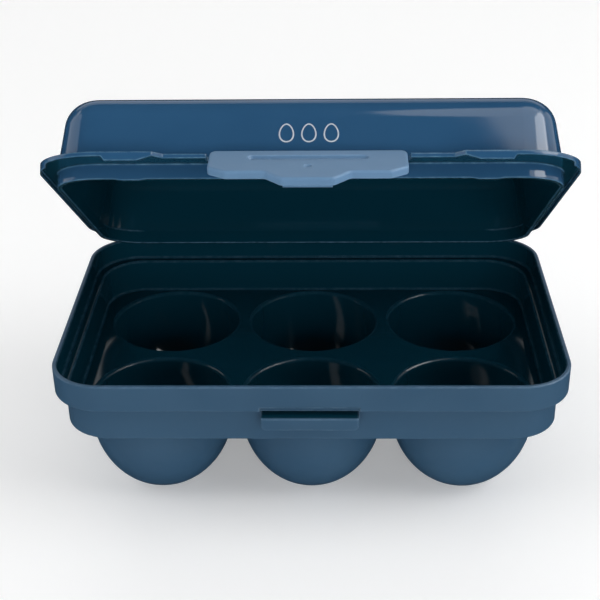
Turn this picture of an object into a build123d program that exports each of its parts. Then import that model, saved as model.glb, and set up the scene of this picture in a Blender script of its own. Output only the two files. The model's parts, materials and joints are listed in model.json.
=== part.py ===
from build123d import *
import os
from math import acos, degrees

# Hinged plastic carrier for six eggs: a tray with egg cups, a deep lid and a swinging latch plate.
# Millimetres, +Z up, -Y to the front. The lid and the latch are drawn shut, then swung open.

# ---- tray -------------------------------------------------------------------------------------
TRAY_WIDTH = 159.6
TRAY_DEPTH = 107.0
RIM_Z = 50.4
RIM_RADIUS = 16.3
STEP_Z = 41.5
STEP_INSET = 3.1
DECK_Z = 29.85
WALL = 1.5
BAND_DRAFT = 1.0
BAND_ROUND = 0.6
RIM_ROUND = 0.4
LEDGE_ROUND = 0.6

CUP_PITCH_X = 48.4
CUP_PITCH_Y = 49.2
CUP_RADIUS = 23.0
CUP_RISE = 26.6
CUP_CENTRE_Z = 25.9
CUP_WALL = 1.3
CUP_MOUTH_ROUND = 1.0

CATCH_WIDTH = 29.5
CATCH_LOW = 36.2
CATCH_HIGH = 40.4
CATCH_FRONT = TRAY_DEPTH / 2 + 1.8
CATCH_CORNER = 1.5
CATCH_ROUND = 0.4
NOTCH_WIDTH = 30.3
NOTCH_HEIGHT = 1.5
NOTCH_DEPTH = 1.1

# ---- back hinge: lugs on the tray, a knuckle on the lid between each pair -----------------------
HINGE_X = 40.0
HINGE_Y = TRAY_DEPTH / 2 + 2.0
HINGE_Z = 48.0
HINGE_RING = 1.8
HINGE_PIN_RADIUS = 0.9
HINGE_PIN_LENGTH = 15.6
LUG_WIDTH = 4.0
LUG_OFFSET = 6.0
LUG_FOOT = 4.4
KNUCKLE_WIDTH = 7.4
KNUCKLE_BACK = 1.3
KNUCKLE_FRONT = 1.5
KNUCKLE_ROUND = 1.0
FIXED_FIT = 0.01
RUNNING_FIT = 0.06

# ---- lid --------------------------------------------------------------------------------------
LID_OPEN_ANGLE = 35.6
LID_GAP = 0.3
FLANGE_Z = RIM_Z + LID_GAP
FLANGE_THICK = 1.3
FLANGE_WIDTH = 161.2
FLANGE_FRONT = 60.5
FLANGE_BACK = 54.6
FLANGE_FRONT_RADIUS = 19.4
FLANGE_BACK_RADIUS = 17.4
SETBACK = 2.9
SETBACK_HALF_WIDTH = 42.0
SKIRT_DEPTH = 1.3
SKIRT_THICK = 0.5
SKIRT_FRONT_X = 77.0
SKIRT_BACK_X = 56.0
TAB_TOP_X = (44.9, 59.5)
TAB_BOTTOM_X = (49.2, 58.6)
TAB_DEPTH = 1.3
TAB_THICK = 1.2

BODY_WIDTH = 152.8
BODY_DEPTH = 102.0
BODY_RADIUS = 13.4
BODY_HEIGHT = 22.3
BODY_DRAFT = 8.0
BODY_TOP_ROUND = 9.0
BODY_WALL = 1.4
LIP_THICK = 1.3
LIP_WIDTH = BODY_WIDTH - 2 * (BODY_WALL - LIP_THICK)
LIP_DEPTH = BODY_DEPTH - 2 * (BODY_WALL - LIP_THICK)
LIP_RADIUS = 14.5
LIP_DROP = 4.5
BEAD_X = (47.6, 57.0)
BEAD_TAPER = 2.0
BEAD_DROP = 0.35

# ---- latch ------------------------------------------------------------------------------------
LATCH_OPEN_ANGLE = 53.0
LATCH_Y = -56.4
LATCH_Z = 50.2
LATCH_PIN_RADIUS = 0.6
LATCH_PIN_LENGTH = 55.0
BARREL_RADIUS = 1.6
BARREL_HALF_WIDTH = 27.8
PLATE_HALF_WIDTH = 28.4
PLATE_THICK = 2.5
PLATE_FACE = 2.5
PLATE_HEAD = 1.7
PLATE_LENGTH = 15.2
LOBE_LENGTH = 19.9
LOBE_ROOT_X = 12.0
LOBE_TIP_X = 7.5
PLATE_CORNER = (5.0, 3.2)
PLATE_CORNER_ROUND = 2.0
PLATE_FACE_ROUND = 0.7
PLATE_BACK_ROUND = 0.3
GROOVE_LENGTH = 35.0
GROOVE_WIDTH = 3.3
GROOVE_DROP = 5.4
GROOVE_DEPTH = 1.0
GROOVE_TAPER = 30.0
DIMPLE_DROP = 11.7
DIMPLE_RADIUS = 1.2
DIMPLE_DEPTH = 0.4
HOOK_WIDTH = 14.0
HOOK_GAP = 0.3
HOOK_THICK = 1.5
HOOK_REACH = 1.9
HOOK_LEAD = 0.9
PIVOT_LUG_X = 19.0
PIVOT_LUG_WIDTH = 5.0
PIVOT_LUG_RING = 1.25
PIVOT_ARM = 0.8
PIVOT_ARM_REACH = 2.5
PIVOT_RISER = 0.5
RECESS_HALF_WIDTH = 29.4
RECESS_CLEAR = 2.2
SLOT_CLEAR = 0.3

HINGE_AXIS = Axis((0, HINGE_Y, HINGE_Z), (1, 0, 0))
LATCH_AXIS = Axis((0, LATCH_Y, LATCH_Z), (1, 0, 0))
OVERCUT = 1.0
TOLERANCE = 0.01


def spanning_rectangle(left, right, low, high):
    """A rectangle given by its edges, added to the sketch being drawn."""
    with Locations(((left + right) / 2, (low + high) / 2)):
        Rectangle(right - left, high - low)


def cup_section(radius, rise, foot_z, top_z):
    """Half of a cup's section: a flat foot, an elliptical bowl and an upright mouth."""
    start = degrees(acos((CUP_CENTRE_Z - foot_z) / rise))
    centre = (0, CUP_CENTRE_Z)
    with BuildSketch(Plane.XZ) as section:
        with BuildLine():
            bowl = EllipticalCenterArc(centre, rise, radius, start, arc_size=90 - start, rotation=-90)
            Polyline(bowl @ 1, (radius, top_z), (0, top_z), (0, foot_z), bowl @ 0)
        make_face()
    return section.sketch


def flange_outline(inset):
    """The lid flange's outline, drawn in from its edge by inset."""
    half_width = FLANGE_WIDTH / 2 - inset
    with BuildSketch(Plane.XY.offset(FLANGE_Z)) as outline:
        spanning_rectangle(-half_width, half_width, inset - FLANGE_FRONT, FLANGE_BACK - inset)
        fillet(outline.vertices().sort_by(Axis.Y)[:2], radius=FLANGE_FRONT_RADIUS - inset)
        fillet(outline.vertices().sort_by(Axis.Y)[-2:], radius=FLANGE_BACK_RADIUS - inset)
    return outline.sketch


def rod(radius, length, x, y, z, mode=Mode.ADD):
    """A round bar along X, centred on (x, y, z), added to or cut from the part being built."""
    with Locations((x, y, z)):
        Cylinder(radius, length, rotation=(0, 90, 0), mode=mode)


# ---- tray: the cups are made once and placed six times ------------------------------------------
with BuildPart() as cup_form:
    revolve(cup_section(CUP_RADIUS, CUP_RISE, 0, DECK_Z + WALL / 2), axis=Axis.Z)

with BuildPart() as cup_hollow:
    hollow_radius = CUP_RADIUS - CUP_WALL
    revolve(cup_section(hollow_radius, CUP_RISE - CUP_WALL, CUP_WALL, DECK_Z + WALL), axis=Axis.Z)

with BuildPart() as tray_shell:
    # the outside: the rim band, the narrower band under it, and the cups
    with BuildSketch(Plane.XY.offset(RIM_Z)):
        RectangleRounded(TRAY_WIDTH, TRAY_DEPTH, RIM_RADIUS)
    extrude(amount=STEP_Z - RIM_Z, taper=BAND_DRAFT)
    fillet(faces().sort_by(Axis.Z)[0].edges(), radius=BAND_ROUND)
    with BuildSketch(Plane.XY.offset(STEP_Z)):
        RectangleRounded(TRAY_WIDTH - 2 * STEP_INSET, TRAY_DEPTH - 2 * STEP_INSET, RIM_RADIUS - 1)
    extrude(amount=DECK_Z - STEP_Z, taper=BAND_DRAFT)
    fillet(faces().sort_by(Axis.Z)[0].edges(), radius=BAND_ROUND)
    with GridLocations(CUP_PITCH_X, CUP_PITCH_Y, 3, 2):
        add(cup_form.part)
    # the inside: two wells with the ledge between them, then the cups
    with BuildSketch(Plane.XY.offset(RIM_Z)):
        RectangleRounded(TRAY_WIDTH - 2 * WALL, TRAY_DEPTH - 2 * WALL, RIM_RADIUS - WALL)
    extrude(amount=STEP_Z + WALL - RIM_Z, taper=BAND_DRAFT, mode=Mode.SUBTRACT)
    fillet(faces().sort_by(Axis.Z)[-1].edges(), radius=RIM_ROUND)
    with BuildSketch(Plane.XY.offset(STEP_Z + WALL)):
        RectangleRounded(
            TRAY_WIDTH - 2 * (STEP_INSET + WALL),
            TRAY_DEPTH - 2 * (STEP_INSET + WALL),
            RIM_RADIUS - 1 - WALL,
        )
    extrude(amount=DECK_Z - STEP_Z, taper=BAND_DRAFT, mode=Mode.SUBTRACT)
    well_floors = faces().filter_by(Plane.XY).filter_by(lambda face: face.normal_at().Z > 0)
    ledge = well_floors.sort_by(Axis.Z)[-2]
    deck = well_floors.sort_by(Axis.Z)[-3]
    fillet(ledge.edges() + deck.outer_wire().edges(), radius=LEDGE_ROUND)
    with GridLocations(CUP_PITCH_X, CUP_PITCH_Y, 3, 2):
        add(cup_hollow.part, mode=Mode.SUBTRACT)
    circles = edges().filter_by(GeomType.CIRCLE)
    mouths = circles.filter_by(lambda edge: abs(edge.radius - hollow_radius) < TOLERANCE)
    fillet(mouths.group_by(Axis.Z)[-1], radius=CUP_MOUTH_ROUND)
    # the notch under the rim band
    with BuildSketch(Plane.XZ.offset(TRAY_DEPTH / 2 - NOTCH_DEPTH)):
        spanning_rectangle(-NOTCH_WIDTH / 2, NOTCH_WIDTH / 2, STEP_Z, STEP_Z + NOTCH_HEIGHT)
    extrude(amount=NOTCH_DEPTH + OVERCUT, mode=Mode.SUBTRACT)

with BuildPart() as catch:
    with BuildSketch(Plane.XZ.offset(CATCH_FRONT)):
        spanning_rectangle(-CATCH_WIDTH / 2, CATCH_WIDTH / 2, CATCH_LOW, CATCH_HIGH)
        fillet(vertices().sort_by(Axis.Y)[:2], radius=CATCH_CORNER)
    extrude(amount=TRAY_DEPTH / 2 - STEP_INSET - WALL / 2 - CATCH_FRONT)
    fillet(faces().sort_by(Axis.Y)[0].edges(), radius=CATCH_ROUND)

with BuildPart() as base_tray:
    add(tray_shell.part)
    add(catch.part)
    for side in (-1, 1):
        for end in (-1, 1):
            with BuildSketch(Plane.YZ.offset(side * HINGE_X + end * LUG_OFFSET)):
                with Locations((HINGE_Y, HINGE_Z)):
                    Circle(HINGE_RING)
                spanning_rectangle(
                    TRAY_DEPTH / 2 - WALL / 2,
                    TRAY_DEPTH / 2 - WALL / 4,
                    HINGE_Z - LUG_FOOT,
                    HINGE_Z + HINGE_RING,
                )
                make_hull()
            extrude(amount=LUG_WIDTH / 2, both=True)
        bore_radius = HINGE_PIN_RADIUS + FIXED_FIT
        rod(bore_radius, 3 * LUG_OFFSET, side * HINGE_X, HINGE_Y, HINGE_Z, mode=Mode.SUBTRACT)

# ---- lid, drawn shut ----------------------------------------------------------------------------
with BuildPart() as lid_skirt:
    extrude(flange_outline(0), amount=-SKIRT_DEPTH)
    extrude(flange_outline(SKIRT_THICK), amount=-SKIRT_DEPTH, mode=Mode.SUBTRACT)
    with BuildSketch(Plane.XY.offset(FLANGE_Z)):
        spanning_rectangle(-SKIRT_FRONT_X, SKIRT_FRONT_X, -FLANGE_FRONT, 0)
        spanning_rectangle(-SKIRT_BACK_X, SKIRT_BACK_X, 0, FLANGE_BACK)
    extrude(amount=-SKIRT_DEPTH, mode=Mode.SUBTRACT)

with BuildPart() as lid_tabs:
    extrude(flange_outline(0), amount=-TAB_DEPTH)
    extrude(flange_outline(TAB_THICK), amount=-TAB_DEPTH, mode=Mode.SUBTRACT)
    with BuildSketch(Plane.XZ):
        for side in (-1, 1):
            Polygon(
                (side * TAB_TOP_X[0], FLANGE_Z),
                (side * TAB_TOP_X[1], FLANGE_Z),
                (side * TAB_BOTTOM_X[1], FLANGE_Z - TAB_DEPTH),
                (side * TAB_BOTTOM_X[0], FLANGE_Z - TAB_DEPTH),
                align=None,
            )
    extrude(amount=FLANGE_FRONT, mode=Mode.INTERSECT)

with BuildPart() as lid_hollow:
    with BuildSketch(Plane.XY.offset(FLANGE_Z)):
        RectangleRounded(BODY_WIDTH - 2 * BODY_WALL, BODY_DEPTH - 2 * BODY_WALL, BODY_RADIUS - BODY_WALL)
    extrude(amount=BODY_HEIGHT - BODY_WALL, taper=BODY_DRAFT)
    fillet(faces().sort_by(Axis.Z)[-1].edges(), radius=BODY_TOP_ROUND - BODY_WALL)
    with BuildSketch(Plane.XY.offset(FLANGE_Z)):
        RectangleRounded(LIP_WIDTH - 2 * LIP_THICK, LIP_DEPTH - 2 * LIP_THICK, LIP_RADIUS - LIP_THICK)
    extrude(amount=-LIP_DROP - BEAD_DROP)

with BuildPart() as lid_shut:
    # the domed body with its top edge rounded
    with BuildSketch(Plane.XY.offset(FLANGE_Z)):
        RectangleRounded(BODY_WIDTH, BODY_DEPTH, BODY_RADIUS)
    extrude(amount=BODY_HEIGHT, taper=BODY_DRAFT)
    fillet(faces().sort_by(Axis.Z)[-1].edges(), radius=BODY_TOP_ROUND)
    # the flange, set back along the middle of its front and again behind the latch
    extrude(flange_outline(0), amount=FLANGE_THICK)
    setback_y = SETBACK - FLANGE_FRONT
    with BuildSketch(Plane.XY.offset(FLANGE_Z)):
        Polygon(
            (-SETBACK_HALF_WIDTH, setback_y),
            (SETBACK_HALF_WIDTH, setback_y),
            (SETBACK_HALF_WIDTH + SETBACK, -FLANGE_FRONT),
            (-SETBACK_HALF_WIDTH - SETBACK, -FLANGE_FRONT),
            align=None,
        )
        recess_y = LATCH_Y + RECESS_CLEAR
        spanning_rectangle(-RECESS_HALF_WIDTH, RECESS_HALF_WIDTH, -FLANGE_FRONT, recess_y)
    extrude(amount=FLANGE_THICK, mode=Mode.SUBTRACT)
    add(lid_skirt.part)
    add(lid_tabs.part)
    # the lip that drops inside the rim, with a bead near each front corner
    with BuildSketch(Plane.XY.offset(FLANGE_Z)):
        RectangleRounded(LIP_WIDTH, LIP_DEPTH, LIP_RADIUS)
    extrude(amount=-LIP_DROP)
    lip_z = FLANGE_Z - LIP_DROP
    with BuildSketch(Plane.XZ.offset(LIP_DEPTH / 2)):
        for side in (-1, 1):
            Polygon(
                (side * BEAD_X[0], lip_z),
                (side * BEAD_X[1], lip_z),
                (side * (BEAD_X[1] - BEAD_TAPER), lip_z - BEAD_DROP),
                (side * (BEAD_X[0] + BEAD_TAPER), lip_z - BEAD_DROP),
                align=None,
            )
    extrude(amount=-LIP_THICK)
    add(lid_hollow.part, mode=Mode.SUBTRACT)
    # the hinge knuckles
    for side in (-1, 1):
        with BuildSketch(Plane.YZ.offset(side * HINGE_X)):
            spanning_rectangle(
                HINGE_Y - KNUCKLE_FRONT,
                HINGE_Y + KNUCKLE_BACK,
                HINGE_Z,
                FLANGE_Z + FLANGE_THICK,
            )
            fillet(vertices().sort_by(Axis.X).sort_by(Axis.Y)[-1], radius=KNUCKLE_ROUND)
            with Locations((HINGE_Y, HINGE_Z)):
                Circle(HINGE_RING)
        extrude(amount=KNUCKLE_WIDTH / 2, both=True)
        bore_radius = HINGE_PIN_RADIUS + RUNNING_FIT
        rod(bore_radius, KNUCKLE_WIDTH, side * HINGE_X, HINGE_Y, HINGE_Z, mode=Mode.SUBTRACT)
    # the lugs that carry the latch pin
    for side in (-1, 1):
        with BuildSketch(Plane.YZ.offset(side * PIVOT_LUG_X)):
            with Locations((LATCH_Y, LATCH_Z)):
                Circle(PIVOT_LUG_RING)
            spanning_rectangle(
                LATCH_Y,
                LATCH_Y + PIVOT_ARM_REACH,
                LATCH_Z - PIVOT_ARM,
                LATCH_Z + PIVOT_ARM,
            )
            spanning_rectangle(
                LATCH_Y + PIVOT_ARM_REACH - PIVOT_RISER,
                LATCH_Y + PIVOT_ARM_REACH,
                LATCH_Z,
                FLANGE_Z + FLANGE_THICK,
            )
        extrude(amount=PIVOT_LUG_WIDTH / 2, both=True)
        bore_radius = LATCH_PIN_RADIUS + FIXED_FIT
        rod(bore_radius, PIVOT_LUG_WIDTH, side * PIVOT_LUG_X, LATCH_Y, LATCH_Z, mode=Mode.SUBTRACT)

# ---- latch, drawn shut --------------------------------------------------------------------------
with BuildPart() as latch_shut:
    head_z = LATCH_Z + PLATE_HEAD
    face_y = LATCH_Y - PLATE_FACE
    with BuildSketch(Plane.XZ.offset(-face_y)):
        Polygon(
            (-PLATE_HALF_WIDTH, head_z),
            (PLATE_HALF_WIDTH, head_z),
            (PLATE_HALF_WIDTH, head_z - PLATE_LENGTH + PLATE_CORNER[1]),
            (PLATE_HALF_WIDTH - PLATE_CORNER[0], head_z - PLATE_LENGTH),
            (LOBE_ROOT_X, head_z - PLATE_LENGTH),
            (LOBE_TIP_X, head_z - LOBE_LENGTH),
            (-LOBE_TIP_X, head_z - LOBE_LENGTH),
            (-LOBE_ROOT_X, head_z - PLATE_LENGTH),
            (PLATE_CORNER[0] - PLATE_HALF_WIDTH, head_z - PLATE_LENGTH),
            (-PLATE_HALF_WIDTH, head_z - PLATE_LENGTH + PLATE_CORNER[1]),
            align=None,
        )
        fillet(vertices(), radius=PLATE_CORNER_ROUND)
    extrude(amount=-PLATE_THICK)
    fillet(faces().sort_by(Axis.Y)[0].edges(), radius=PLATE_FACE_ROUND)
    fillet(faces().sort_by(Axis.Y)[-1].edges(), radius=PLATE_BACK_ROUND)
    # the grip groove and the dimple under it
    with BuildSketch(Plane.XZ.offset(-face_y)):
        with Locations((0, head_z - GROOVE_DROP)):
            SlotOverall(GROOVE_LENGTH, GROOVE_WIDTH)
    extrude(amount=-GROOVE_DEPTH, taper=GROOVE_TAPER, mode=Mode.SUBTRACT)
    with BuildSketch(Plane.XZ.offset(-face_y)):
        with Locations((0, head_z - DIMPLE_DROP)):
            Circle(DIMPLE_RADIUS)
    extrude(amount=-DIMPLE_DEPTH, taper=GROOVE_TAPER, mode=Mode.SUBTRACT)
    rod(BARREL_RADIUS, 2 * BARREL_HALF_WIDTH, 0, LATCH_Y, LATCH_Z)
    # slots for the lid's lugs, deep enough for the latch to swing up
    for side in (-1, 1):
        with BuildSketch(Plane.YZ.offset(side * PIVOT_LUG_X)):
            with Locations((LATCH_Y, LATCH_Z)):
                Circle(PIVOT_LUG_RING + SLOT_CLEAR)
            spanning_rectangle(
                LATCH_Y - PIVOT_ARM - SLOT_CLEAR,
                LATCH_Y + PIVOT_ARM_REACH,
                LATCH_Z - PIVOT_ARM - SLOT_CLEAR,
                head_z + OVERCUT,
            )
        extrude(amount=PIVOT_LUG_WIDTH / 2 + SLOT_CLEAR, both=True, mode=Mode.SUBTRACT)
    bore_radius = LATCH_PIN_RADIUS + RUNNING_FIT
    rod(bore_radius, 2 * PLATE_HALF_WIDTH, 0, LATCH_Y, LATCH_Z, mode=Mode.SUBTRACT)
    # the hook that catches under the tray's bar
    hook_z = CATCH_LOW - HOOK_GAP
    hook_root_y = face_y + PLATE_THICK
    with BuildSketch(Plane.YZ):
        Polygon(
            (hook_root_y, hook_z),
            (hook_root_y + HOOK_REACH, hook_z),
            (hook_root_y + HOOK_REACH, hook_z - HOOK_THICK + HOOK_LEAD),
            (hook_root_y + HOOK_REACH - HOOK_LEAD, hook_z - HOOK_THICK),
            (hook_root_y, hook_z - HOOK_THICK),
            align=None,
        )
    extrude(amount=HOOK_WIDTH / 2, both=True)

# ---- the lid and the latch swung open, and the pins ---------------------------------------------
with BuildPart() as lid_shell:
    add(lid_shut.part.rotate(HINGE_AXIS, -LID_OPEN_ANGLE))

with BuildPart() as latch:
    add(latch_shut.part.rotate(LATCH_AXIS, -LATCH_OPEN_ANGLE).rotate(HINGE_AXIS, -LID_OPEN_ANGLE))

with BuildPart() as latch_pin_shut:
    rod(LATCH_PIN_RADIUS, LATCH_PIN_LENGTH, 0, LATCH_Y, LATCH_Z)

with BuildPart() as latch_pin:
    add(latch_pin_shut.part.rotate(HINGE_AXIS, -LID_OPEN_ANGLE))

with BuildPart() as hinge_pin_left:
    rod(HINGE_PIN_RADIUS, HINGE_PIN_LENGTH, -HINGE_X, HINGE_Y, HINGE_Z)

with BuildPart() as hinge_pin_right:
    rod(HINGE_PIN_RADIUS, HINGE_PIN_LENGTH, HINGE_X, HINGE_Y, HINGE_Z)

# ---- one file for each piece --------------------------------------------------------------------
os.makedirs("parts", exist_ok=True)
base_tray.part.label = "base_tray"
export_step(base_tray.part, "parts/base_tray.step")
lid_shell.part.label = "lid_shell"
export_step(lid_shell.part, "parts/lid_shell.step")
latch.part.label = "latch"
export_step(latch.part, "parts/latch.step")
latch_pin.part.label = "latch_pin"
export_step(latch_pin.part, "parts/latch_pin.step")
hinge_pin_left.part.label = "hinge_pin_left"
export_step(hinge_pin_left.part, "parts/hinge_pin_left.step")
hinge_pin_right.part.label = "hinge_pin_right"
export_step(hinge_pin_right.part, "parts/hinge_pin_right.step")
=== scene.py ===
import json
from math import cos, pi, radians, sin

import bmesh
import bpy
from mathutils import Matrix, Vector


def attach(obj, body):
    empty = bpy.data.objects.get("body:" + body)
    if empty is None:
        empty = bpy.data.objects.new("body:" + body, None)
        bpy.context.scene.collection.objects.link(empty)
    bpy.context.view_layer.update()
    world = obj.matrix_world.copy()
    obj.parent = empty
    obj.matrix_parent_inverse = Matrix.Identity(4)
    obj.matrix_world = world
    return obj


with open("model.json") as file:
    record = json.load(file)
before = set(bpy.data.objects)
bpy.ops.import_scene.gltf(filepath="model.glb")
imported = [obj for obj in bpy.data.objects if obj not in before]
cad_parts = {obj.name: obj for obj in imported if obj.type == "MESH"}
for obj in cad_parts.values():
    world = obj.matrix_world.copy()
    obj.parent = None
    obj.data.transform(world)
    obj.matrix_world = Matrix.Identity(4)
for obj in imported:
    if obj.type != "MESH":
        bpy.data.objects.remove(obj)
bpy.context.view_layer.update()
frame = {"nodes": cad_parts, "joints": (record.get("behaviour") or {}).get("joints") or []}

# A moulded six-egg carrier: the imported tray, lid and latch with their plastics, the small marks that
# moulding leaves, a printed egg motif on the lid, and a plain pale studio. Metres, +Z up, and -Y is
# the front.

MM = 0.001

# ---- camera -------------------------------------------------------------------------------------
CAMERA_TARGET = Vector((-4.0, 0.0, 52.0)) * MM
CAMERA_AZIMUTH = 1.64
CAMERA_ELEVATION = 27.29
CAMERA_DISTANCE = 448.6 * MM
CAMERA_ROLL = -0.85
CAMERA_LENS = 81.1
CAMERA_SENSOR = 36.0

# ---- light --------------------------------------------------------------------------------------
SKY_ABOVE = 0.25
SKY_BELOW = 0.08
SKY_BLEND = (-0.30, 0.15)
# lit: it lights the plastic and isn't mirrored in it; mirrored: the other way round
LIT = "lights"
MIRRORED = "mirrored"
# name, height, front edge, depth, width, power, turn, use
OVERHEADS = (
    ("ceiling", 1.2, 0.66, 1.9, 2.6, 9.0, 0.0, LIT),
    ("ceiling_back", 1.2, -0.46, 0.9, 4.0, 12.0, -6.0, MIRRORED),
)
# name, azimuth, elevation, distance, width, height, power, use
SOFTBOXES = (
    ("back_low", 180, 26, 1.4, 2.4, 0.6, 2.4, MIRRORED),
    ("key_right", 80, 36, 1.2, 0.95, 0.55, 5.6, MIRRORED),
    ("key_right_low", 102, 14, 1.2, 1.3, 0.7, 2.3, MIRRORED),
    ("key_right_high", 80, 55, 1.2, 1.25, 1.5, 10.0, MIRRORED),
    ("fill_left", -100, 18, 1.2, 0.8, 1.1, 2.3, MIRRORED),
    ("side_right", 75, 30, 1.2, 1.0, 1.0, 8.0, LIT),
    ("side_left", -75, 30, 1.2, 1.0, 1.0, 5.0, LIT),
    ("front_low", 4, 14, 1.5, 1.6, 0.6, 11.0, LIT),
    ("rear_fill", 182, 24, 1.5, 1.6, 0.8, 6.0, LIT),
)

# ---- colours, linear ----------------------------------------------------------------------------
TRAY_BLUE = (0.031, 0.089, 0.161, 1.0)
TRAY_DEEP = (0.026, 0.078, 0.145, 1.0)
# the paler edge colours: handling wear, and a painted highlight along the edges
TRAY_WEAR_AND_HIGHLIGHT = (0.120, 0.210, 0.310, 1.0)
LID_BLUE = (0.0246, 0.088, 0.185, 1.0)
LID_DEEP = (0.020, 0.076, 0.165, 1.0)
LID_WEAR_AND_HIGHLIGHT = (0.110, 0.230, 0.350, 1.0)
# the latch's blues are the navy plastic made paler: painted light for its upward-facing top, which the
# lamps overhead light more
LATCH_BLUE_PAINTED_LIGHT = (0.110, 0.225, 0.380, 1.0)
LATCH_DEEP_PAINTED_LIGHT = (0.100, 0.210, 0.355, 1.0)
LATCH_WEAR_AND_HIGHLIGHT = (0.180, 0.320, 0.500, 1.0)
# painted shade: the dark colour of the insides stands in for the shade inside the tray and under the
# lid
INSIDE_PAINTED_SHADE_BLUE = (0.002, 0.032, 0.054, 1.0)
PRINT_GREY = (0.45, 0.50, 0.56, 1.0)
STEEL = (0.56, 0.57, 0.59, 1.0)
BLACK = (0.0, 0.0, 0.0, 1.0)
STUDIO_WHITE = (0.85, 0.85, 0.85, 1.0)

# ---- floor and backdrop -------------------------------------------------------------------------
FLOOR_SIZE = 2.4
FLOOR_GAP = 0.05 * MM
FLOOR_ROUGHNESS = 0.8
FLOOR_GLOW = 0.30
BACKDROP_RADIUS = 8.0
BACKDROP_GLOW = 0.85

# ---- finishes -----------------------------------------------------------------------------------
PLASTIC_IOR = 1.49
SATIN = (0.40, 0.50)
POLISHED = (0.05, 0.09)
SATIN_GRAIN = 0.006 * MM
POLISHED_GRAIN = 0.0006 * MM
TRAY_RIPPLE = 0.02 * MM
LATCH_RIPPLE = 0.01 * MM
LID_RIPPLE = 0.03 * MM
# how far the edge rounding reaches, and the band of paler edge colour: handling wear and painted
# highlight
EDGE_WEAR_AND_HIGHLIGHT_WIDTH = 0.8 * MM
EDGE_SAMPLES = 6
EDGE_TURNED = (0.93, 0.999)
SCUFFED = (0.25, 1.0)
WIRE_STRETCH = (40.0, 5000.0, 5000.0)
WIRE_ROUGHNESS = (0.22, 0.40)
WIRE_LINE_DEPTH = 0.01 * MM
INK_ROUGHNESS = (0.35, 0.50)
INK_PALER = 1.12

# sizes of the noise patterns, per metre
PIGMENT_SCALE = 28.0
RIPPLE_SCALE = 34.0
SMEAR_SCALE = 60.0
SCUFF_SCALE = 420.0
INK_SCALE = 900.0
GRAIN_SCALE = 2600.0

# ---- the polished insides, darkened with painted shade: the lid's middle, and the grid of the egg cups ---
INNER_LEAN = (-0.04, 0.0)
LID_CENTRE_SHUT = Vector((0.0, 0.0, 30.0)) * MM
CUP_PITCH = Vector((48.4, 49.2, 100.0)) * MM
CUP_SHIFT = Vector((24.2, 0.0, 0.0)) * MM
CUP_REACH = Vector((48.5, 49.1, 0.0)) * MM
CUP_MIDDLE = Vector((0.0, 24.6, 47.0)) * MM

# ---- the print and the moulding marks -----------------------------------------------------------
LID_DRAFT = 8.0
LID_FRONT_SHUT = Vector((0.0, -49.7, 60.2)) * MM
LID_TOP_SHUT = Vector((0.0, 0.0, 73.0)) * MM
RAY_START = 60.0 * MM
EGG_WIDTH = 4.5 * MM
EGG_HEIGHT = 6.0 * MM
EGG_PITCH = 6.6 * MM
EGG_LINE = 0.42 * MM
EGG_TAPER = 0.16
EGG_STEPS = 72
INK_HALF_THICK = 0.02 * MM
GATE_STEPS = 40
GATE_PROFILE = [
    (radius * MM, height * MM)
    for radius, height in (
        (0.0, -0.10), (2.2, -0.10), (2.2, 0.06), (2.0, 0.10), (1.7, 0.10), (1.5, 0.04),
        (0.6, 0.04), (0.5, 0.22), (0.3, 0.26), (0.0, 0.26),
    )
]


# ---- places -------------------------------------------------------------------------------------
joints = {joint["name"]: joint for joint in frame["joints"]}
hinge = Vector(joints["lid_hinge"]["pos_m"])
lid_turn = Matrix.Rotation(radians(joints["lid_hinge"]["range_deg"][0]), 3, "X")
lid_up = lid_turn @ Vector((0.0, 0.0, 1.0))


def opened(shut_place):
    """Where a place on the shut lid lies with the lid at rest."""
    return hinge + lid_turn @ (shut_place - hinge)


def direction(azimuth, elevation):
    """From the target towards a place seen at that azimuth and elevation; azimuth 0 is the front."""
    a, e = radians(azimuth), radians(elevation)
    return Vector((sin(a) * cos(e), -cos(a) * cos(e), sin(e)))


# ---- nodes --------------------------------------------------------------------------------------
def new_material(name):
    """A new material, with its nodes, its links and its Principled shader."""
    material = bpy.data.materials.new(name)
    material.use_nodes = True
    nodes = material.node_tree.nodes
    return material, nodes, material.node_tree.links, nodes["Principled BSDF"]


def noise(nodes, links, coords, scale, detail=2.0, roughness=0.5):
    """A noise texture over the object's own coordinates."""
    texture = nodes.new("ShaderNodeTexNoise")
    texture.inputs["Scale"].default_value = scale
    texture.inputs["Detail"].default_value = detail
    texture.inputs["Roughness"].default_value = roughness
    links.new(coords.outputs["Object"], texture.inputs["Vector"])
    return texture.outputs["Fac"]


def spread(nodes, links, value, low, high, start=0.35, end=0.65):
    """Maps a noise value between start and end to the range low to high."""
    mapped = nodes.new("ShaderNodeMapRange")
    mapped.inputs["From Min"].default_value = start
    mapped.inputs["From Max"].default_value = end
    mapped.inputs["To Min"].default_value = low
    mapped.inputs["To Max"].default_value = high
    links.new(value, mapped.inputs["Value"])
    return mapped.outputs["Result"]


def mixed(nodes, links, factor, first, second):
    """A colour mixed from two by a factor; each colour is a value or another node's output."""
    mix = nodes.new("ShaderNodeMix")
    mix.data_type = "RGBA"
    links.new(factor, mix.inputs["Factor"])
    for socket, colour in ((mix.inputs[6], first), (mix.inputs[7], second)):
        if isinstance(colour, tuple):
            socket.default_value = colour
        else:
            links.new(colour, socket)
    return mix.outputs[2]


def vector_math(nodes, links, operation, *values):
    """The result of one vector node; each value is a vector or another node's output."""
    node = nodes.new("ShaderNodeVectorMath")
    node.operation = operation
    for socket, value in zip(node.inputs, values):
        if isinstance(value, bpy.types.NodeSocket):
            links.new(value, socket)
        else:
            socket.default_value = value
    return node.outputs["Value" if operation == "DOT_PRODUCT" else "Vector"]


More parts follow.
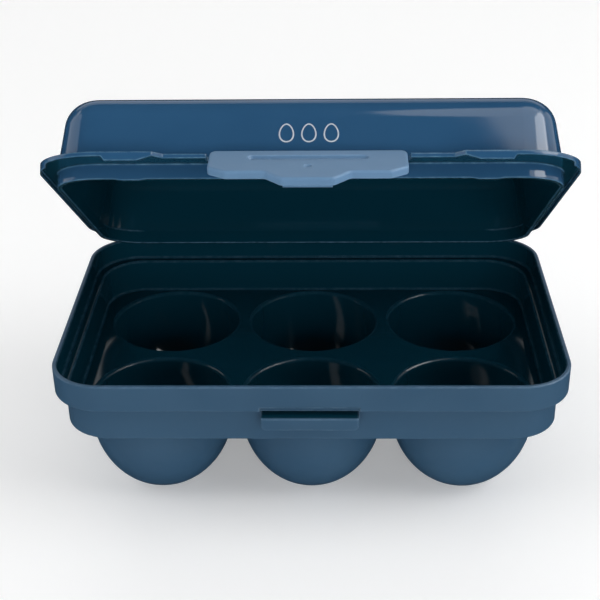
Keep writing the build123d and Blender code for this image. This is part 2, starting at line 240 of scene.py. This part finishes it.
def nearest_cup(nodes, links, place):
    """The middle of the nearest egg cup's mouth, as seen from a place on the tray."""
    held = vector_math(nodes, links, "MINIMUM", place, CUP_REACH)
    held = vector_math(nodes, links, "MAXIMUM", held, -CUP_REACH)
    held = vector_math(nodes, links, "ADD", held, CUP_SHIFT)
    column = vector_math(nodes, links, "SNAP", held, CUP_PITCH)
    return vector_math(nodes, links, "ADD", column, CUP_MIDDLE)


def on_inside(nodes, links, place, centre):
    """1 on the faces that look towards a centre and 0 on the others, in the piece's own frame."""
    geometry = nodes.new("ShaderNodeNewGeometry")
    own = nodes.new("ShaderNodeVectorTransform")
    own.vector_type = "NORMAL"
    own.convert_from = "WORLD"
    own.convert_to = "OBJECT"
    links.new(geometry.outputs["True Normal"], own.inputs["Vector"])
    towards = vector_math(nodes, links, "SUBTRACT", centre, place)
    towards = vector_math(nodes, links, "NORMALIZE", towards)
    lean = vector_math(nodes, links, "DOT_PRODUCT", own.outputs["Vector"], towards)
    return spread(nodes, links, lean, 0.0, 1.0, *INNER_LEAN)


def near_edges(nodes, links):
    """The normal with its edges rounded off, and 1 on an edge, falling to 0 over EDGE_WEAR_AND_HIGHLIGHT_WIDTH."""
    softened = nodes.new("ShaderNodeBevel")
    softened.samples = EDGE_SAMPLES
    softened.inputs["Radius"].default_value = EDGE_WEAR_AND_HIGHLIGHT_WIDTH
    geometry = nodes.new("ShaderNodeNewGeometry")
    rounded = softened.outputs["Normal"]
    agree = vector_math(nodes, links, "DOT_PRODUCT", rounded, geometry.outputs["Normal"])
    return rounded, spread(nodes, links, agree, 1.0, 0.0, *EDGE_TURNED)


# ---- materials ----------------------------------------------------------------------------------
def moulded_plastic(name, colours, rough, grain, ripple_height, centre=None):
    """Moulded plastic. colours is its (deep, usual, edge wear and highlight) colour, rough its (low,
    high) roughness, grain the height of its fine texture and ripple_height that of its faint long
    ripples. Where centre is given, as a place or as "cups", the faces that look towards it are
    polished and darkened with painted shade."""
    material, nodes, links, shader = new_material(name)
    coords = nodes.new("ShaderNodeTexCoord")
    deep, usual, wear_and_highlight_colour = colours
    # colour: slow drift in the pigment, and paler edges: handling wear, and a painted highlight where
    # the rounded edges catch the light
    drift = spread(nodes, links, noise(nodes, links, coords, PIGMENT_SCALE, 3.0), 0.0, 1.0)
    body = mixed(nodes, links, drift, deep, usual)
    rounded, edge_wear_and_highlight = near_edges(nodes, links)
    scuffs = spread(nodes, links, noise(nodes, links, coords, SCUFF_SCALE, 4.0, 0.6), *SCUFFED)
    rubbed_and_highlight = nodes.new("ShaderNodeMath")
    rubbed_and_highlight.operation = "MULTIPLY"
    links.new(edge_wear_and_highlight, rubbed_and_highlight.inputs[0])
    links.new(scuffs, rubbed_and_highlight.inputs[1])
    # roughness: handling smears over the moulded finish
    smears = noise(nodes, links, coords, SMEAR_SCALE, 4.0, 0.62)
    finish = spread(nodes, links, smears, *rough)
    if centre is not None:
        # the faces that look towards the centre are polished, and their colour is darkened with
        # painted shade
        place = coords.outputs["Object"]
        middle = nearest_cup(nodes, links, place) if centre == "cups" else centre
        inside_polish_and_shade = on_inside(nodes, links, place, middle)
        body = mixed(nodes, links, inside_polish_and_shade, body, INSIDE_PAINTED_SHADE_BLUE)
        choose = nodes.new("ShaderNodeMix")
        links.new(inside_polish_and_shade, choose.inputs["Factor"])
        links.new(finish, choose.inputs["A"])
        links.new(spread(nodes, links, smears, *POLISHED), choose.inputs["B"])
        finish = choose.outputs["Result"]
    # paler edges mixed in: handling wear, and a painted highlight along the edges
    colour = mixed(nodes, links, rubbed_and_highlight.outputs[0], body, wear_and_highlight_colour)
    links.new(colour, shader.inputs["Base Color"])
    links.new(finish, shader.inputs["Roughness"])
    # bump: long soft ripples from the melt's flow under a fine even grain
    ripple = nodes.new("ShaderNodeBump")
    ripple.inputs["Strength"].default_value = 1.0
    ripple.inputs["Distance"].default_value = ripple_height
    links.new(noise(nodes, links, coords, RIPPLE_SCALE, 1.0), ripple.inputs["Height"])
    links.new(rounded, ripple.inputs["Normal"])
    fine = nodes.new("ShaderNodeBump")
    fine.inputs["Strength"].default_value = 1.0
    fine.inputs["Distance"].default_value = grain
    links.new(noise(nodes, links, coords, GRAIN_SCALE, 2.0), fine.inputs["Height"])
    links.new(ripple.outputs["Normal"], fine.inputs["Normal"])
    links.new(fine.outputs["Normal"], shader.inputs["Normal"])
    shader.inputs["IOR"].default_value = PLASTIC_IOR
    return material


def drawn_wire(name):
    """Steel wire with fine lines along its length, which is X."""
    material, nodes, links, shader = new_material(name)
    coords = nodes.new("ShaderNodeTexCoord")
    stretch = nodes.new("ShaderNodeMapping")
    stretch.inputs["Scale"].default_value = WIRE_STRETCH
    links.new(coords.outputs["Object"], stretch.inputs["Vector"])
    lines = nodes.new("ShaderNodeTexNoise")
    lines.inputs["Scale"].default_value = 1.0
    links.new(stretch.outputs["Vector"], lines.inputs["Vector"])
    finish = spread(nodes, links, lines.outputs["Fac"], *WIRE_ROUGHNESS)
    links.new(finish, shader.inputs["Roughness"])
    bump = nodes.new("ShaderNodeBump")
    bump.inputs["Distance"].default_value = WIRE_LINE_DEPTH
    links.new(lines.outputs["Fac"], bump.inputs["Height"])
    links.new(bump.outputs["Normal"], shader.inputs["Normal"])
    shader.inputs["Base Color"].default_value = STEEL
    shader.inputs["Metallic"].default_value = 1.0
    return material


def print_ink(name):
    """Pale grey pad-printed ink, a little uneven."""
    material, nodes, links, shader = new_material(name)
    coords = nodes.new("ShaderNodeTexCoord")
    patches = spread(nodes, links, noise(nodes, links, coords, INK_SCALE, 3.0), 0.0, 1.0)
    paler = tuple(INK_PALER * channel for channel in PRINT_GREY[:3]) + (1.0,)
    links.new(mixed(nodes, links, patches, PRINT_GREY, paler), shader.inputs["Base Color"])
    finish = spread(nodes, links, patches, *INK_ROUGHNESS, 0.0, 1.0)
    links.new(finish, shader.inputs["Roughness"])
    return material


def matt_floor(name):
    """A plain pale studio floor with a little light of its own."""
    material, _, _, shader = new_material(name)
    shader.inputs["Base Color"].default_value = STUDIO_WHITE
    shader.inputs["Roughness"].default_value = FLOOR_ROUGHNESS
    shader.inputs["Emission Color"].default_value = STUDIO_WHITE
    shader.inputs["Emission Strength"].default_value = FLOOR_GLOW
    return material


def glowing_wall(name):
    """A plain pale wall that shines evenly by itself."""
    material, _, _, shader = new_material(name)
    shader.inputs["Base Color"].default_value = BLACK
    shader.inputs["Emission Color"].default_value = STUDIO_WHITE
    shader.inputs["Emission Strength"].default_value = BACKDROP_GLOW
    return material


TRAY_COLOURS = (TRAY_DEEP, TRAY_BLUE, TRAY_WEAR_AND_HIGHLIGHT)
LID_COLOURS = (LID_DEEP, LID_BLUE, LID_WEAR_AND_HIGHLIGHT)
LATCH_PAINTED_LIGHT_COLOURS = (LATCH_DEEP_PAINTED_LIGHT, LATCH_BLUE_PAINTED_LIGHT, LATCH_WEAR_AND_HIGHLIGHT)
LID_CENTRE = opened(LID_CENTRE_SHUT)
TRAY_PLASTIC = moulded_plastic("satin_blue", TRAY_COLOURS, SATIN, SATIN_GRAIN, TRAY_RIPPLE, "cups")
# the latch takes its own paler copy of the satin plastic: painted light on its upward-facing top
LATCH_PLASTIC_PAINTED_LIGHT = moulded_plastic("satin_blue_latch_painted_light", LATCH_PAINTED_LIGHT_COLOURS, SATIN, SATIN_GRAIN, LATCH_RIPPLE)
LID_PLASTIC = moulded_plastic(
    "gloss_blue", LID_COLOURS, POLISHED, POLISHED_GRAIN, LID_RIPPLE, LID_CENTRE
)
PIN_STEEL = drawn_wire("pin_wire")
INK = print_ink("grey_ink")
FLOOR = matt_floor("studio_white")
BACKDROP = glowing_wall("studio_wall")

for node, material in {
    "base_tray": TRAY_PLASTIC,
    "lid_shell": LID_PLASTIC,
    "latch": LATCH_PLASTIC_PAINTED_LIGHT,
    "hinge_pin_left": PIN_STEEL,
    "hinge_pin_right": PIN_STEEL,
    "latch_pin": PIN_STEEL,
}.items():
    shown = frame["nodes"][node]
    shown.data.materials.clear()
    shown.data.materials.append(material)


# ---- small pieces that ride on the mouldings ----------------------------------------------------
def surface(node, start, heading):
    """The point and outward normal where a ray first meets a CAD node."""
    hit, place, normal, _ = frame["nodes"][node].ray_cast(start, heading)
    if not hit:
        raise ValueError(f"the ray from {tuple(start)} misses {node}")
    return place, normal


def on_surface(place, normal):
    """A matrix at a place, with Z along the normal and X as near to the carrier's X as it can be."""
    side = Vector((1.0, 0.0, 0.0))
    side = (side - normal * side.dot(normal)).normalized()
    rise = normal.cross(side)
    turn = Matrix((side, rise, normal)).transposed().to_4x4()
    return Matrix.Translation(place) @ turn


def finished_piece(name, mesh, body, material):
    """Turns a bmesh into a named piece that rides on a body and takes a slot's finish."""
    bmesh.ops.recalc_face_normals(mesh, faces=mesh.faces)
    data = bpy.data.meshes.new(name)
    mesh.to_mesh(data)
    mesh.free()
    for polygon in data.polygons:
        polygon.use_smooth = False
    piece = bpy.data.objects.new(name, data)
    bpy.context.collection.objects.link(piece)
    data.materials.append(material)
    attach(piece, body)


def egg_point(angle, width, height):
    """A point on an egg's outline, blunt end down."""
    taper = 1.0 - EGG_TAPER * sin(angle)
    return Vector((width / 2 * cos(angle) * taper, height / 2 * sin(angle), 0.0))


def egg_ring(mesh, matrix, centre_x, width, height, line, proud):
    """A closed raised outline of an egg, added to a mesh."""
    loops = []
    for inset, lift in ((0.0, -proud), (0.0, proud), (line, proud), (line, -proud)):
        ring = []
        for step in range(EGG_STEPS):
            point = egg_point(2 * pi * step / EGG_STEPS, width - 2 * inset, height - 2 * inset)
            ring.append(mesh.verts.new(matrix @ (point + Vector((centre_x, 0.0, lift)))))
        loops.append(ring)
    for first, second in zip(loops, loops[1:] + loops[:1]):
        for step in range(EGG_STEPS):
            after = (step + 1) % EGG_STEPS
            mesh.faces.new((first[step], first[after], second[after], second[step]))


def turned(mesh, matrix, profile, steps):
    """A round closed solid from (radius, height) points, the first and last on its axis."""
    rings = []
    for radius, height in profile:
        if radius == 0.0:
            rings.append([mesh.verts.new(matrix @ Vector((0.0, 0.0, height)))])
            continue
        ring = []
        for step in range(steps):
            angle = 2 * pi * step / steps
            spot = Vector((radius * cos(angle), radius * sin(angle), height))
            ring.append(mesh.verts.new(matrix @ spot))
        rings.append(ring)
    for first, second in zip(rings, rings[1:]):
        for step in range(steps):
            after = (step + 1) % steps
            if len(first) == 1:
                mesh.faces.new((first[0], second[step], second[after]))
            elif len(second) == 1:
                mesh.faces.new((first[step], first[after], second[0]))
            else:
                mesh.faces.new((first[step], first[after], second[after], second[step]))


def gate_mark(name, node, body, material, start, heading):
    """The small ring and nub where the plastic entered a mould."""
    place, normal = surface(node, start, heading)
    mark = bmesh.new()
    turned(mark, on_surface(place, normal), GATE_PROFILE, GATE_STEPS)
    finished_piece(name, mark, body, material)


# the print: three plain eggs in a row on the lid's front wall
outward = lid_turn @ direction(0.0, LID_DRAFT)
place, normal = surface("lid_shell", opened(LID_FRONT_SHUT) + outward * RAY_START, -outward)
print_matrix = on_surface(place, normal)
eggs = bmesh.new()
for column in (-1, 0, 1):
    egg_ring(eggs, print_matrix, column * EGG_PITCH, EGG_WIDTH, EGG_HEIGHT, EGG_LINE, INK_HALF_THICK)
finished_piece("egg_print", eggs, "lid", INK)

# gate marks: one on the lid's top, and one under the tray's deck
lid_start = opened(LID_TOP_SHUT) + lid_up * RAY_START
gate_mark("lid_gate_mark", "lid_shell", "lid", LID_PLASTIC, lid_start, -lid_up)
under = Vector((0.0, 0.0, -RAY_START))
gate_mark("tray_gate_mark", "base_tray", "tray", TRAY_PLASTIC, under, Vector((0, 0, 1)))


# ---- camera, floor and light --------------------------------------------------------------------
def aim(thing, place, target, roll=0.0):
    """Puts a camera or a light at a place, looking at a target."""
    turn = (target - place).to_track_quat("-Z", "Y").to_matrix().to_4x4()
    thing.matrix_world = Matrix.Translation(place) @ turn @ Matrix.Rotation(radians(roll), 4, "Z")


lens = bpy.data.cameras.new("camera")
lens.lens = CAMERA_LENS
lens.sensor_width = CAMERA_SENSOR
camera = bpy.data.objects.new("camera", lens)
bpy.context.collection.objects.link(camera)
back = direction(CAMERA_AZIMUTH, CAMERA_ELEVATION)
aim(camera, CAMERA_TARGET + back * CAMERA_DISTANCE, CAMERA_TARGET, CAMERA_ROLL)
bpy.context.scene.camera = camera

bpy.ops.mesh.primitive_plane_add(size=FLOOR_SIZE, location=(0.0, 0.0, -FLOOR_GAP))
floor = bpy.context.object
floor.name = "floor"
floor.data.materials.append(FLOOR)
floor.visible_glossy = False

# the pale wall all round, seen only by the camera
bpy.ops.mesh.primitive_uv_sphere_add(radius=BACKDROP_RADIUS)
backdrop = bpy.context.object
backdrop.name = "backdrop"
backdrop.data.materials.append(BACKDROP)
backdrop.visible_diffuse = False
backdrop.visible_glossy = False
backdrop.visible_shadow = False


def panel(name, width, height, power, use):
    """A studio light: a rectangle that lights, or an ellipse that is mirrored in the plastic. The
    camera never sees the light itself."""
    light = bpy.data.lights.new(name, "AREA")
    light.shape = "ELLIPSE" if use == MIRRORED else "RECTANGLE"
    light.size = width
    light.size_y = height
    light.energy = power
    lamp = bpy.data.objects.new(name, light)
    bpy.context.collection.objects.link(lamp)
    lamp.visible_camera = False
    lamp.visible_diffuse = use == LIT
    lamp.visible_glossy = use == MIRRORED
    return lamp


def softbox(name, azimuth, elevation, distance, width, height, power, use):
    """A panel aimed at the carrier from an azimuth and an elevation."""
    lamp = panel(name, width, height, power, use)
    aim(lamp, CAMERA_TARGET + direction(azimuth, elevation) * distance, CAMERA_TARGET)


def overhead(name, height, front, depth, width, power, turn, use):
    """A level panel above the carrier whose front edge is a set distance in front of it."""
    lamp = panel(name, width, depth, power, use)
    lamp.matrix_world = (
        Matrix.Translation((0.0, -front, height))
        @ Matrix.Rotation(radians(turn), 4, "Z")
        @ Matrix.Translation((0.0, depth / 2, 0.0))
    )


for row in OVERHEADS:
    overhead(*row)
for row in SOFTBOXES:
    softbox(*row)

# the sky: a little brighter above than below
world = bpy.data.worlds.new("studio")
world.use_nodes = True
sky = world.node_tree.nodes
sky_links = world.node_tree.links
heading = sky.new("ShaderNodeTexCoord")
height = sky.new("ShaderNodeSeparateXYZ")
sky_links.new(heading.outputs["Generated"], height.inputs["Vector"])
glow = sky.new("ShaderNodeMapRange")
glow.inputs["From Min"].default_value = SKY_BLEND[0]
glow.inputs["From Max"].default_value = SKY_BLEND[1]
glow.inputs["To Min"].default_value = SKY_BELOW
glow.inputs["To Max"].default_value = SKY_ABOVE
sky_links.new(height.outputs["Z"], glow.inputs["Value"])
sky_links.new(glow.outputs["Result"], sky["Background"].inputs["Strength"])
bpy.context.scene.world = world
bpy.context.scene.view_settings.view_transform = "Standard"
